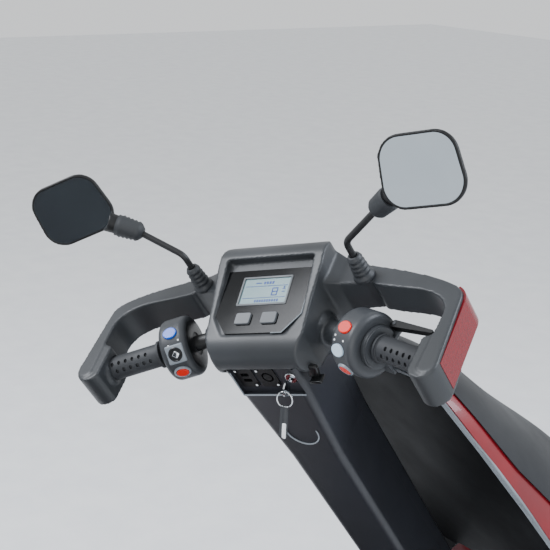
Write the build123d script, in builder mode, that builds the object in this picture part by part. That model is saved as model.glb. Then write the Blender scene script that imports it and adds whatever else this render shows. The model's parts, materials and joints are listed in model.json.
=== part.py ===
from build123d import *
from math import asin, cos, radians, sin, tan
import os

# A three-wheeled mobility scooter, in millimetres. X is to the rider's right, Y forward, Z up.
# The tiller stands as it is used: leaning back towards the rider and turned a little to the left.

# ---- driving dimensions ------------------------------------------------------------------
tiller_lean = 35.0            # degrees from upright, back towards the rider
tiller_steer = 25.0           # degrees to the left of straight ahead
head_height = 939.0           # middle of the handlebar above the ground
head_reach = -8.0             # Y of the middle of the handlebar
wall = 3.0                    # moulded covers
fit_gap = 0.3                 # between pieces that move past each other
shaft_gap = 0.08              # radial, round a shaft or a pin
seam_gap = 0.2                # between fixed mouldings

front_wheel_radius = 125.0
front_tyre_width = 74.0
rear_wheel_radius = 140.0
tread_drop, tread_edge = 12.0, 2.0      # how far the tread falls away, and stops short of the sides
rear_tyre_width = 82.0
rear_axle_y = -500.0
rear_track = 526.0            # between the middles of the rear tyres
axle_radius = 9.0

bar_radius = 11.0
bar_straight = 68.0           # half of the straight middle
bar_sweep = 22.1              # degrees back towards the rider
bar_rise = 2.2                # degrees up
bar_arm = 212.0               # each swept end, from the bend
grip_radius = 17.0
grip_start, grip_end = 119.0, 203.0
pod_radius = 44.0
pod_start, pod_end = 66.0, 108.0

stem_radius = 14.0            # steering stem in the frame's head tube
pivot_drop = 715.0            # handlebar to tiller tilt pivot, down the column
column_radius = 19.0
rider_face = -77.0            # column's face towards the rider, in the head's own Y
column_front_face = 34.0

deck_height = 120.5           # underside of the floor pan
deck_half_width = 255.0
rail_height = 90.0            # underside of the frame rails
rail_size = 30.0
rail_spacing = 220.0

post_y = -418.0               # seat post
post_radius = 24.0
seat_height = 492.0           # underside of the cushion
seat_width, seat_depth, seat_thick = 450.0, 440.0, 76.0
back_height, back_thick = 430.0, 70.0

# ---- frames ------------------------------------------------------------------------------
lean, steer = radians(tiller_lean), radians(tiller_steer)
head_origin = Vector(0, head_reach, head_height)
COLUMN = Plane(origin=head_origin, x_dir=(1, 0, 0), z_dir=(0, -sin(lean), cos(lean)))
HEAD = Plane(
    origin=head_origin,
    x_dir=(cos(steer), sin(steer) * cos(lean), sin(steer) * sin(lean)),
    z_dir=(0, -sin(lean), cos(lean)),
)
wheel_lean = asin(sin(steer) * sin(lean))
tread_half = front_tyre_width / 2 - tread_edge
tread_round = (tread_half**2 + tread_drop**2) / (2 * tread_drop)
front_axle_height = (front_wheel_radius - tread_round) * cos(wheel_lean) + tread_round
axle_drop = (head_height - front_axle_height) / cos(lean)
front_axle_y = head_reach + axle_drop * sin(lean)

pieces = {}


def finish(builder, label, frame=None):
    """Set a finished piece in its frame, name it and keep it."""
    if frame is not None:
        builder.part = frame.location * builder.part
    builder.part.label = label
    pieces[label] = builder


def mirrored(original):
    """The left-hand copy of a right-hand piece, both in the head's own frame."""
    with BuildPart() as copy:
        mirror(original.part, about=Plane.YZ)
    return copy


# ---- tiller head, in its own frame: X right, Y forward, Z up the column -------------------
sweep_angle, rise_angle = radians(bar_sweep), radians(bar_rise)
bar_bend = Vector(bar_straight, 0, 0)
bar_dir = Vector(cos(sweep_angle) * cos(rise_angle), -sin(sweep_angle) * cos(rise_angle), sin(rise_angle))
bar_up = (Vector(0, 0, 1) - bar_dir * bar_dir.Z).normalized()
bar_back = bar_dir.cross(bar_up)


def bar_plane(along):
    """Square to the right-hand bar, past its bend. Local X is up, local Y towards the rider."""
    return Plane(origin=bar_bend + bar_dir * along, x_dir=bar_up, z_dir=bar_dir)


def rim_plane(along, angle, radius):
    """Facing out of the bar's axis, at an angle from up towards the rider. Local X is along the bar."""
    out = bar_up * cos(radians(angle)) + bar_back * sin(radians(angle))
    return Plane(origin=bar_bend + bar_dir * along + out * radius, x_dir=bar_dir, z_dir=out)


def bar_tube(radius):
    """The whole handlebar as a solid rod of the given radius."""
    tip = bar_bend + bar_dir * bar_arm
    with BuildPart() as rod:
        with BuildLine() as route:
            FilletPolyline((-tip.X, tip.Y, tip.Z), (-bar_straight, 0, 0), (bar_straight, 0, 0), tip, radius=60)
        with BuildSketch(Plane(origin=route.line @ 0, z_dir=route.line % 0)):
            Circle(radius)
        sweep()
    return rod


bar_room = bar_tube(bar_radius + 1.2)

with BuildPart() as handlebar:
    add(bar_tube(bar_radius).part)
    add(bar_tube(bar_radius - 2).part, mode=Mode.SUBTRACT)
finish(handlebar, "handlebar", HEAD)

# Console: the side outline is cut to the plan outline, then hollowed under the sloping face.
face_slope = 12.6
face_origin = Vector(0, -3, 53)
FACE = Plane(
    origin=face_origin, x_dir=(1, 0, 0),
    z_dir=(0, -sin(radians(face_slope)), cos(radians(face_slope))),
)
console_bottom = -22.0
console_width = 174.0
brow_height = 81.0
nose_y = 97.0
cover_top = 2.0               # top of the column covers, in the notch under the console
cover_half_top, cover_half_mid, cover_half_low = 60.0, 44.0, 38.0
cover_mid_z, cover_low_z = -185.0, -655.0


def console_block(inset):
    """The console's outside, or its cavity when inset by the wall."""
    with BuildPart() as block:
        with BuildSketch(Plane.YZ):
            with BuildLine():
                rear = ThreePointArc((-50, 44), (rider_face, 12), (-45, console_bottom))
                under = Line(rear @ 1, (72, console_bottom - 6))
                nose = ThreePointArc(under @ 1, (nose_y - 4, 0), (nose_y, 34))
                brow = ThreePointArc(nose @ 1, (nose_y - 7, 74), (62, brow_height))
                Line(brow @ 1, (-50, 44))
            make_face()
            if inset:
                offset(amount=-inset)
        extrude(amount=console_width, both=True)
        with BuildSketch():
            with BuildLine():
                side = Polyline((0, -82), (66, -82), (79, -50), (81, 0), (86, 48), (86, 76))
                corner = ThreePointArc(side @ 1, (80, 92), (62, 99))
                Line(corner @ 1, (0, 99))
                mirror(about=Plane.YZ)
            make_face()
            if inset:
                offset(amount=-inset)
        extrude(amount=2 * console_width, both=True, mode=Mode.INTERSECT)
        if inset:
            split(bisect_by=FACE.offset(-inset - 1), keep=Keep.BOTTOM)
    return block


console_outside = console_block(0)

with BuildPart() as console:
    add(console_outside.part)
    with BuildSketch(FACE):
        with BuildLine():
            well = Polyline((0, -49), (52, -49), (71, -20), (71, 68), (0, 68))
            mirror(about=Plane.YZ)
        make_face()
    extrude(amount=60, mode=Mode.SUBTRACT)
    add(console_block(wall + 0.5).part, mode=Mode.SUBTRACT)
    with Locations((0, 0, cover_top)):
        Box(
            2 * (cover_half_top + seam_gap), 400, 200,
            align=(Align.CENTER, Align.CENTER, Align.MAX), mode=Mode.SUBTRACT,
        )
    add(bar_room.part, mode=Mode.SUBTRACT)

console_seam = 30.0
with BuildPart() as console_rear:
    add(console.part)
    split(bisect_by=Plane.XZ.offset(-console_seam), keep=Keep.TOP)
with BuildPart() as console_front:
    add(console.part)
    split(bisect_by=Plane.XZ.offset(-console_seam - seam_gap), keep=Keep.BOTTOM)
finish(console_rear, "console_rear", HEAD)
finish(console_front, "console_front", HEAD)

# Display: black bezel in the well, glass and two push buttons
bezel_thick = 2.5
button_length, button_width, button_high = 24.0, 17.0, 4.0
button_centre_x, button_centre_u = 21.0, -24.0
lcd_width, lcd_height = 76.0, 40.0

with BuildPart() as display_bezel:
    with BuildSketch(FACE):
        with BuildLine():
            Polyline((0, -46), (46, -46), (69.5, -18), (69.5, 54), (0, 54))
            mirror(about=Plane.YZ)
        make_face()
        with Locations((0, lcd_height / 2)):
            RectangleRounded(lcd_width + 0.4, lcd_height + 0.4, 2.2, mode=Mode.SUBTRACT)
        with Locations((button_centre_x, button_centre_u), (-button_centre_x, button_centre_u)):
            RectangleRounded(button_length + 2 * fit_gap, button_width + 2 * fit_gap, 3.3, mode=Mode.SUBTRACT)
    extrude(amount=bezel_thick)
finish(display_bezel, "display_bezel", HEAD)

with BuildPart() as display_lcd:
    with BuildSketch(FACE):
        with Locations((0, lcd_height / 2)):
            RectangleRounded(lcd_width, lcd_height, 2)
    extrude(amount=bezel_thick - 0.8)
finish(display_lcd, "display_lcd", HEAD)

for side, sign in (("left", -1), ("right", 1)):
    with BuildPart() as display_button:
        with BuildSketch(FACE.offset(1.8)):
            with Locations((sign * button_centre_x, button_centre_u)):
                RectangleRounded(button_length, button_width, 3)
        extrude(amount=button_high)
        fillet(display_button.faces().sort_by(Axis.Z)[-1].edges(), 0.8)
    finish(display_button, f"display_button_{side}", HEAD)

# Column covers: a tapering box round the tube, split into a rear and a front half
pocket_half_width, pocket_bottom, pocket_depth = 51.0, -49.0, 7.0
oval_z = -128.0


def cover_block(inset):
    """The outside of both covers, or their cavity when inset by the wall."""
    sections = (
        (cover_top + inset, cover_half_top, column_front_face),
        (cover_mid_z, cover_half_mid, column_front_face),
        (cover_low_z - inset, cover_half_low, 30.0),
    )
    with BuildPart() as block:
        for z, half, front in sections:
            with BuildSketch(Plane.XY.offset(z)):
                with Locations((0, (rider_face + front) / 2)):
                    RectangleRounded(2 * (half - inset), front - rider_face - 2 * inset, 11 - inset)
        loft(ruled=True)
    return block


RIDER = Plane.XZ.offset(-rider_face)
FLOOR = RIDER.offset(-pocket_depth)
pocket_high = cover_top - pocket_bottom

with BuildPart() as cover_cavity:
    add(cover_block(wall).part)
    with Locations((0, rider_face + pocket_depth + wall, pocket_bottom - wall)):
        Box(
            4 * cover_half_top, -rider_face, 2 * pocket_high,
            align=(Align.CENTER, Align.MAX, Align.MIN), mode=Mode.SUBTRACT,
        )

with BuildPart() as covers:
    add(cover_block(0).part)
    add(cover_cavity.part, mode=Mode.SUBTRACT)
    with BuildSketch(RIDER):
        with Locations((0, cover_top - pocket_high / 2)):
            Rectangle(2 * pocket_half_width, pocket_high)
    extrude(amount=-pocket_depth, mode=Mode.SUBTRACT)
    with BuildSketch(RIDER):
        with Locations((4, oval_z)):
            Ellipse(26, 28)
    extrude(amount=-1.2, mode=Mode.SUBTRACT)
    with Locations((0, 0, cover_top + 10)):
        Box(
            4 * cover_half_top, 2 * bar_radius + 4, bar_radius + 14 + cover_top,
            align=(Align.CENTER, Align.CENTER, Align.MAX), mode=Mode.SUBTRACT,
        )

charger_x, usb_x, lock_x, socket_z = 2.0, -33.0, 41.0, -18.0
charger_radius, usb_width, usb_height, lock_radius = 10.2, 19.0, 21.0, 7.4
cover_seam = 4.0
with BuildPart() as column_rear_cover:
    add(covers.part)
    split(bisect_by=Plane.XZ.offset(-cover_seam), keep=Keep.TOP)
    with BuildSketch(FLOOR):
        with Locations((lock_x, socket_z)):
            Circle(lock_radius + seam_gap)
        with Locations((charger_x, socket_z)):
            Circle(charger_radius + seam_gap)
        with Locations((usb_x, socket_z)):
            Rectangle(usb_width + 2 * seam_gap, usb_height + 2 * seam_gap)
    extrude(amount=-2 * wall, mode=Mode.SUBTRACT)
with BuildPart() as column_front_cover:
    add(covers.part)
    split(bisect_by=Plane.XZ.offset(-cover_seam - seam_gap), keep=Keep.BOTTOM)
finish(column_rear_cover, "column_rear_cover", HEAD)
finish(column_front_cover, "column_front_cover", HEAD)

flange = 1.6
with BuildPart() as power_sockets:
    with BuildSketch(FLOOR):
        with Locations((charger_x, socket_z), (usb_x, socket_z)):
            RectangleRounded(30, 38, 4)
    extrude(amount=flange)
    with BuildSketch(FLOOR.offset(flange)):
        with Locations((charger_x, socket_z)):
            Circle(charger_radius)
        with Locations((usb_x, socket_z)):
            Rectangle(usb_width, usb_height)
    extrude(amount=-20)
    with BuildSketch(FLOOR.offset(flange)):
        with Locations((charger_x, socket_z)):
            Circle(charger_radius - 1.2)
            Circle(charger_radius - 3.7, mode=Mode.SUBTRACT)
        with Locations((usb_x, socket_z + 5.5), (usb_x, socket_z - 5.5)):
            Rectangle(13, 6)
    extrude(amount=-12, mode=Mode.SUBTRACT)
    with BuildSketch(FLOOR.offset(flange)):
        for centre in (charger_x, usb_x):
            with Locations((centre - 11, socket_z + 14), (centre + 11, socket_z - 14)):
                Circle(2.2)
    extrude(amount=1.4)
finish(power_sockets, "power_sockets", HEAD)

key_turn = 16.5               # bow tipped from flat, so that the ring hangs free
lock_face = 4.5
key_slot_depth = 16.0
key_width, key_thick = 6.4, 2.2
KEY = Plane(
    origin=(lock_x, FLOOR.origin.Y, socket_z),
    x_dir=(cos(radians(key_turn)), 0, -sin(radians(key_turn))), z_dir=(0, -1, 0),
)
with BuildPart() as key_lock:
    with BuildSketch(KEY.offset(-22)):
        Circle(lock_radius)
    extrude(amount=22)
    with BuildSketch(KEY):
        Circle(lock_radius + 2)
    extrude(amount=lock_face)
    fillet(key_lock.faces().sort_by(Axis.Y)[0].edges(), 1.5)
    with BuildSketch(KEY.offset(lock_face)):
        Circle(key_width / 2 + 2 * fit_gap)
    extrude(amount=-key_slot_depth - 1, mode=Mode.SUBTRACT)
finish(key_lock, "key_lock", HEAD)

key_hole_reach = 27.0         # ring hole in front of the pocket floor
key_tip = lock_face - key_slot_depth
KEY_FLAT = Plane(origin=KEY.origin, x_dir=KEY.z_dir, z_dir=KEY.x_dir)
with BuildPart() as ignition_key:
    with BuildSketch(KEY_FLAT):
        with Locations(((key_tip + 14) / 2, 0)):
            Rectangle(14 - key_tip, key_width - 2 * fit_gap)
        with Locations((key_hole_reach - 6, 0)):
            Circle(11)
        with Locations((key_hole_reach, 0)):
            Circle(2.4, mode=Mode.SUBTRACT)
    extrude(amount=key_thick / 2, both=True)
finish(ignition_key, "ignition_key", HEAD)

# Ring, strap and tag hang straight down from the key's hole
key_hole = HEAD.from_local_coords(KEY_FLAT.from_local_coords(Vector(key_hole_reach, 0, 0)))
hole_axis = HEAD.from_local_coords(KEY_FLAT.z_dir) - head_origin
ring_radius, ring_wire = 11.0, 0.9
strap_width, strap_length = 11.0, 46.0
ring_across = hole_axis.cross(Vector(0, 0, 1))
with BuildPart() as key_fob:
    with Locations(Plane(origin=key_hole - Vector(0, 0, ring_radius), x_dir=hole_axis, z_dir=ring_across)):
        Torus(ring_radius, ring_wire)
    STRAP = Plane(
        origin=key_hole - Vector(0, 0, 2 * ring_radius + strap_length / 2 - 2),
        x_dir=hole_axis, z_dir=ring_across,
    )
    with BuildSketch(STRAP):
        RectangleRounded(strap_width, strap_length, 4)
    extrude(amount=1.4, both=True)
finish(key_fob, "key_fob")

# Hand guards: a deep band from the console round each grip, ending in a cap on the grip's end
guard_top, guard_bottom = 38.0, -12.0
cap_top, cap_bottom = 36.0, -20.0
with BuildPart() as guard_right:
    with BuildSketch(Plane.XY.offset(guard_bottom)):
        with BuildLine():
            front = Spline((74, 84), (130, 77), (182, 64), (235, 47), (270, 30), (285, 4), tangents=((1, -0.1), (0, -1)))
            outer_side = Line(front @ 1, (285, -100))
            end = TangentArc(outer_side @ 1, (259, -107), tangent=outer_side % 1)
            inner_side = Line(end @ 1, (267, -22))
            back = Spline(
                inner_side @ 1, (244, 17), (203, 29), (150, 41), (74, 44),
                tangents=(inner_side % 1, (-1, 0)),
            )
            Line(back @ 1, front @ 0)
        make_face()
    extrude(amount=guard_top - guard_bottom)
    with BuildSketch(Plane.XY.offset(cap_bottom)):
        with BuildLine():
            cap_outer = Line((285, -62), (285, -100))
            cap_end = TangentArc(cap_outer @ 1, (246, -108), tangent=cap_outer % 1)
            Polyline(cap_end @ 1, (250, -56), (264, -50), cap_outer @ 0)
        make_face()
    extrude(amount=cap_top - cap_bottom)
    add(console_outside.part, mode=Mode.SUBTRACT)
    with BuildSketch(bar_plane(0)):
        Circle(bar_radius + seam_gap)
    extrude(amount=bar_arm + 1, mode=Mode.SUBTRACT)
    with BuildSketch(bar_plane(0)):
        Circle(grip_radius + seam_gap)
    extrude(amount=grip_end + seam_gap, mode=Mode.SUBTRACT)
finish(mirrored(guard_right), "guard_left", HEAD)

# Red reflector on the outer side of each guard
with BuildPart() as guard_reflectors:
    with BuildSketch(Plane.XY.offset(guard_bottom - 2)):
        with BuildLine():
            strip = ThreePointArc((274, 32), (284, 22), (288.5, 6))
            Polyline(strip @ 1, (285.6, -96), (276, -96), (266, 22), strip @ 0)
        make_face()
    extrude(amount=guard_top - guard_bottom - 4)
    add(guard_right.part, mode=Mode.SUBTRACT)
    with BuildSketch(Plane.XY.offset(guard_bottom - 2)):
        with BuildLine():
            Polyline((240, 40), (262, 40), (279, 0), (276, -120), (240, -120), close=True)
        make_face()
    extrude(amount=guard_top - guard_bottom, mode=Mode.SUBTRACT)
    mirror(about=Plane.YZ)
finish(guard_right, "guard_right", HEAD)
finish(guard_reflectors, "guard_reflectors", HEAD)

# Grips: rubber sleeves with two rows of six holes facing the rider
grip_hole_pitch, grip_hole_radius, grip_hole_start = 10.7, 2.4, 140.0
with BuildPart() as grip_right:
    with BuildSketch(bar_plane(grip_start)):
        Circle(grip_radius)
    extrude(amount=grip_end - grip_start)
    with BuildSketch(bar_plane(grip_start)):
        Circle(grip_radius + 3)
    extrude(amount=4)
    fillet(grip_right.edges().filter_by(GeomType.CIRCLE).sort_by(Axis.X)[0:2], 1.2)
    for row_angle, shift in ((28, 0), (66, -grip_hole_pitch / 2)):
        for index in range(6):
            with BuildSketch(rim_plane(grip_hole_start + shift + index * grip_hole_pitch, row_angle, grip_radius)):
                Ellipse(grip_hole_radius, grip_hole_radius * 1.3)
            extrude(amount=-3.5, mode=Mode.SUBTRACT)
    with BuildSketch(bar_plane(grip_start)):
        Circle(bar_radius + shaft_gap)
    extrude(amount=grip_end - grip_start, mode=Mode.SUBTRACT)
finish(mirrored(grip_right), "grip_left", HEAD)
finish(grip_right, "grip_right", HEAD)

# Switch pods: round housings on the bar, each with three controls facing the rider
pod_middle = (pod_start + pod_end) / 2
button_travel = 2.0
button_sink, button_proud = 7.0, 2.5
controls = (                  # angle from up towards the rider, half length, half width, shift
    ("top", 17.0, 10.5, 8.5, 0.0),
    ("middle", 58.0, 10.5, 8.5, -3.0),
    ("low", 97.0, 9.0, 7.5, 0.0),
)

with BuildPart() as pod_body:
    with BuildSketch(bar_plane(pod_start)):
        Circle(pod_radius)
    extrude(amount=pod_end - pod_start)
    fillet(pod_body.edges().filter_by(GeomType.CIRCLE), 9)
    with BuildSketch(bar_plane(pod_start - 2)):
        Circle(bar_radius + shaft_gap)
    extrude(amount=pod_end - pod_start + 20, mode=Mode.SUBTRACT)
    with BuildSketch(bar_plane(pod_start + wall)):
        Circle(pod_radius - 14)
        Circle(bar_radius + wall, mode=Mode.SUBTRACT)
    extrude(amount=pod_end - pod_start - 2 * wall, mode=Mode.SUBTRACT)
    for place, angle, half_length, half_width, shift in controls:
        with BuildSketch(rim_plane(pod_middle + shift, angle, pod_radius)):
            Ellipse(half_length + fit_gap, half_width + fit_gap)
        extrude(amount=-(button_sink + button_travel + 1), mode=Mode.SUBTRACT)
finish(mirrored(pod_body), "pod_left", HEAD)

lever_along, lever_pin, lever_half_high = 114.0, 2.6, 4.7
levers = (                    # name, angle round the bar, reach, blade length, blade rise
    ("throttle_lever", -84.0, 37.0, 62.0, 4.0),
    ("brake_lever", 186.0, 37.5, 36.0, 3.0),
)


def lever_plane(angle, reach):
    """On a lever's pivot. Local X runs along the bar, local Y away from it."""
    out = bar_up * cos(radians(angle)) + bar_back * sin(radians(angle))
    return Plane(origin=bar_bend + bar_dir * lever_along + out * reach, x_dir=bar_dir, z_dir=bar_dir.cross(out))


with BuildPart() as pod_right:
    add(pod_body.part)
    with BuildSketch(bar_plane(pod_end)):
        Circle(27)
        Circle(bar_radius + shaft_gap, mode=Mode.SUBTRACT)
    extrude(amount=grip_start - pod_end - 2)
    for lever_name, angle, reach, length, rise in levers:
        PIVOT = lever_plane(angle, reach)
        with BuildSketch(PIVOT.offset(-lever_half_high - fit_gap)):
            with Locations((-8, -5)):
                Rectangle(30, 22)
        extrude(amount=-4)
        with BuildSketch(PIVOT.offset(-lever_half_high - fit_gap)):
            Circle(lever_pin)
        extrude(amount=2 * lever_half_high + 1)
finish(pod_right, "pod_right", HEAD)

for lever_name, angle, reach, length, rise in levers:
    with BuildPart() as lever:
        with BuildSketch(lever_plane(angle, reach).offset(-lever_half_high)):
            with BuildLine():
                root = ThreePointArc((0, 5.5), (-5.5, 0), (0, -5.5))
                inside = Line(root @ 1, (length, rise - 1.5))
                tip = ThreePointArc(inside @ 1, (length + 2.5, rise + 1), (length, rise + 3.5))
                Line(tip @ 1, root @ 0)
            make_face()
            Circle(lever_pin + shaft_gap, mode=Mode.SUBTRACT)
        extrude(amount=2 * lever_half_high)
    finish(lever, lever_name, HEAD)

control_names = {
    "left": {"top": "horn_button", "middle": "dip_switch", "low": "stop_button_left"},
    "right": {"top": "hazard_button", "middle": "light_button", "low": "stop_button_right"},
}
for place, angle, half_length, half_width, shift in controls:
    with BuildPart() as control:
        with BuildSketch(rim_plane(pod_middle + shift, angle, pod_radius - button_sink)):
            Ellipse(half_length, half_width)
        extrude(amount=button_sink + button_proud)
        fillet(control.faces().sort_by(Axis((0, 0, 0), rim_plane(0, angle, 1).z_dir))[-1].edges(), 1.2)
    finish(mirrored(control), control_names["left"][place], HEAD)
    finish(control, control_names["right"][place], HEAD)

# Mirrors: a ribbed boot on each guard, a bent stem and a dished head on a ball
boot_x, boot_y = 133.0, 53.0
boot_height, boot_ribs = 41.0, 4
stem_rod, ball_radius = 4.6, 7.0
stem_bend_z = 103.0
ball_x, ball_y, ball_z = 196.0, 64.0, 146.0
mirror_x, mirror_y, mirror_z = 279.0, 58.0, 202.0
mirror_half_width, mirror_half_height, mirror_corner = 56.0, 46.0, 31.0
mirror_facing = {"left": (0.4, -0.83, 0.3), "right": (0.0, -0.83, 0.55)}
mirror_depth, glass_thick, rim_width = 22.0, 2.4, 3.5

BOOT = Plane(origin=(boot_x, boot_y, guard_top), x_dir=(1, 0, 0), z_dir=(0, -1, 0))
with BuildPart() as mirror_base_boots:
    with BuildSketch(BOOT):
        with BuildLine():
            bore_side = Line((stem_rod + fit_gap, 0), (stem_rod + fit_gap, boot_height))
            crown = Line(bore_side @ 1, (8, boot_height))
            flank = [(8, boot_height)]
            for rib in range(boot_ribs):
                low = boot_height - 6 - rib * 7
                flank += [(11 + rib * 0.7, low), (9.4 + rib * 0.7, low - 3.5)]
            Polyline(*flank, (15, 5), (15, 0), (stem_rod + fit_gap, 0))
        make_face()
    revolve(axis=Axis((boot_x, boot_y, 0), (0, 0, 1)))
    mirror(about=Plane.YZ)
finish(mirror_base_boots, "mirror_base_boots", HEAD)

with BuildPart() as mirror_stem:
    with BuildLine() as stem_route:
        FilletPolyline(
            (boot_x, boot_y, guard_top + 2), (boot_x, boot_y, stem_bend_z), (ball_x, ball_y, ball_z), radius=16)
    with BuildSketch(Plane(origin=stem_route.line @ 0, z_dir=(0, 0, 1))):
        Circle(stem_rod)
    sweep()
    with Locations((ball_x, ball_y, ball_z)):
        Sphere(ball_radius)
finish(mirrored(mirror_stem), "mirror_stem_left", HEAD)
finish(mirror_stem, "mirror_stem_right", HEAD)


def mirror_outline(inset):
    """Rounded outline, fuller at the top, for the sketch in hand."""
    across, high = mirror_half_width - mirror_corner, mirror_half_height - mirror_corner
    for x, y in ((-across, high), (across, high), (-0.8 * across, -high), (across, -high)):
        with Locations((x, y)):
            Circle(mirror_corner - inset)
    make_hull()


for side, sign in (("left", -1), ("right", 1)):
    ball = Vector(sign * ball_x, ball_y, ball_z)
    middle = Vector(sign * mirror_x, mirror_y, mirror_z)
    facing = Vector(*mirror_facing[side]).normalized()
    GLASS = Plane(origin=middle, x_dir=Vector(0, 0, 1).cross(facing) * -1, z_dir=facing)
    BALL = Plane(origin=ball, z_dir=(middle - ball).normalized())
    with BuildPart() as mirror_shell:
        with BuildSketch(GLASS):
            mirror_outline(0)
        extrude(amount=-6)
        with BuildSketch(GLASS.offset(-6)):
            mirror_outline(0)
        with BuildSketch(GLASS.offset(-mirror_depth)):
            mirror_outline(14)
        loft()
        with BuildSketch(BALL):
            Circle(12)
        with BuildSketch(BALL.offset(62)):
            Circle(15)
        loft()
        with Locations(ball):
            Sphere(ball_radius + fit_gap + 0.2, mode=Mode.SUBTRACT)
        with BuildSketch(GLASS):
            mirror_outline(rim_width)
        extrude(amount=2 * mirror_depth, mode=Mode.SUBTRACT)
        with BuildSketch(GLASS):
            mirror_outline(rim_width)
        extrude(amount=-glass_thick, mode=Mode.SUBTRACT)
    finish(mirror_shell, f"mirror_shell_{side}", HEAD)
    with BuildPart() as mirror_glass:
        with BuildSketch(GLASS.offset(-glass_thick)):
            mirror_outline(rim_width + seam_gap)
        extrude(amount=glass_thick - 0.5)
    finish(mirror_glass, f"mirror_glass_{side}", HEAD)

# ---- column, fork and front wheel, still in the head's frame ------------------------------
lug_width, lug_depth, pivot_radius = 30.0, 40.0, 8.0
clevis_thick = 12.0
with BuildPart() as tiller_column:
    with BuildSketch(Plane.XY.offset(-pivot_drop + 26)):
        Circle(column_radius)
        Circle(column_radius - 3, mode=Mode.SUBTRACT)
    extrude(amount=pivot_drop - 26 - bar_radius)
    with Locations((0, 0, 0)):
        Box(70, 44, 34)
    with BuildSketch(Plane.YZ):
        Circle(bar_radius + shaft_gap)
    extrude(amount=50, both=True, mode=Mode.SUBTRACT)
    with Locations((0, 0, -pivot_drop + 4)):
        Box(lug_width, lug_depth, 48)
    with BuildSketch(Plane.YZ):
        with Locations((0, -pivot_drop)):
            Circle(pivot_radius + shaft_gap)
    extrude(amount=lug_width, both=True, mode=Mode.SUBTRACT)
finish(tiller_column, "tiller_column", HEAD)

head_tube_top, head_tube_low = -760.0, -836.0
crown_z = -axle_drop + front_wheel_radius + 17
leg_x = front_tyre_width / 2 + 20
leg_thick, leg_width = 7.0, 32.0
front_axle_radius = 7.0
with BuildPart() as steering_fork:
    for sign in (-1, 1):
        with Locations((sign * (lug_width / 2 + fit_gap + clevis_thick / 2), 0, -pivot_drop - 8)):
            Box(clevis_thick, lug_depth, 60)
    with Locations((0, 0, -pivot_drop - 32)):
        Box(lug_width + 2 * clevis_thick + 2 * fit_gap, lug_depth, 12)
    with BuildSketch(Plane.YZ):
        with Locations((0, -pivot_drop)):
            Circle(pivot_radius)
    extrude(amount=lug_width / 2 + clevis_thick, both=True)
    with BuildSketch(Plane.XY.offset(crown_z)):
        Circle(stem_radius)
    extrude(amount=-pivot_drop - 32 - crown_z)
    with Locations((0, 0, crown_z)):
        Box(2 * leg_x + leg_thick, leg_width - 2, 12, align=(Align.CENTER, Align.CENTER, Align.MIN))
    for sign in (-1, 1):
        with BuildSketch(Plane.YZ.offset(sign * leg_x - leg_thick / 2)):
            with BuildLine():
                foot = ThreePointArc(
                    (leg_width / 2, -axle_drop), (0, -axle_drop - leg_width / 2), (-leg_width / 2, -axle_drop))
                Polyline(foot @ 1, (-leg_width / 2, crown_z + 1), (leg_width / 2, crown_z + 1), foot @ 0)
            make_face()
        extrude(amount=leg_thick)
    with BuildSketch(Plane.YZ):
        with Locations((0, -axle_drop)):
            Circle(front_axle_radius)
    extrude(amount=leg_x + leg_thick, both=True)
finish(steering_fork, "steering_fork", HEAD)

guard_ring = front_wheel_radius + 13
with BuildPart() as front_mudguard:
    with BuildSketch(Plane.YZ):
        with Locations((0, -axle_drop)):
            Circle(guard_ring)
            Circle(guard_ring - 3, mode=Mode.SUBTRACT)
    extrude(amount=front_tyre_width / 2 + 8, both=True)
    with BuildSketch(Plane.YZ):
        with BuildLine():
            Polyline((-200, -axle_drop - 10), (0, -axle_drop), (200, -axle_drop + 60), (200, -1400), (-200, -1400),
                     close=True)
        make_face()
    extrude(amount=100, both=True, mode=Mode.SUBTRACT)
    with BuildSketch(Plane.YZ):
        with BuildLine():
            Polyline((-16, -axle_drop + guard_ring - 2), (16, -axle_drop + guard_ring - 2), (16, crown_z),
                     (-16, crown_z), close=True)
        make_face()
    extrude(amount=25, both=True)
finish(front_mudguard, "front_mudguard", HEAD)


def wheel_pieces(radius, width, bore, wheel_plane):
    """Tyre and rim of one wheel. The plane's Z is the axle."""
    seat = radius * 0.68
    with BuildPart() as tyre:
        with BuildSketch(Plane.XZ):
            with BuildLine():
                shoulder, half = radius - tread_drop, width / 2 - tread_edge
                tread = ThreePointArc((shoulder, half), (radius, 0), (shoulder, -half))
                Polyline(tread @ 1, (seat + 8, -width / 2), (seat, 8 - width / 2), (seat, width / 2 - 8),
                         (seat + 8, width / 2), tread @ 0)
            make_face()
        revolve(axis=Axis.Z)
    with BuildPart() as rim:
        with BuildSketch(Plane.XZ):
            with BuildLine():
                Polyline(
                    (bore, -width / 2 + 4), (bore, width / 2 - 4), (26, width / 2 - 4), (26, 6), (seat - 14, 6),
                    (seat - 9, width / 2 - 8), (seat, width / 2 - 8), (seat, 8 - width / 2),
                    (seat - 9, 8 - width / 2), (seat - 14, -6), (26, -6), (26, 4 - width / 2), close=True)
            make_face()
        revolve(axis=Axis.Z)
        with BuildSketch(Plane.XY.offset(-20)):
            with PolarLocations((seat + 12) / 2, 5):
                Circle(9)
        extrude(amount=40, mode=Mode.SUBTRACT)
    for piece in (tyre, rim):
        piece.part = wheel_plane.location * piece.part
    return tyre, rim


FRONT_WHEEL = Plane(origin=(0, 0, -axle_drop), x_dir=(0, 1, 0), z_dir=(1, 0, 0))
front_tyre, front_rim = wheel_pieces(
    front_wheel_radius, front_tyre_width, front_axle_radius + shaft_gap, FRONT_WHEEL)
finish(front_tyre, "front_tyre", HEAD)
finish(front_rim, "front_rim", HEAD)

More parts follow.
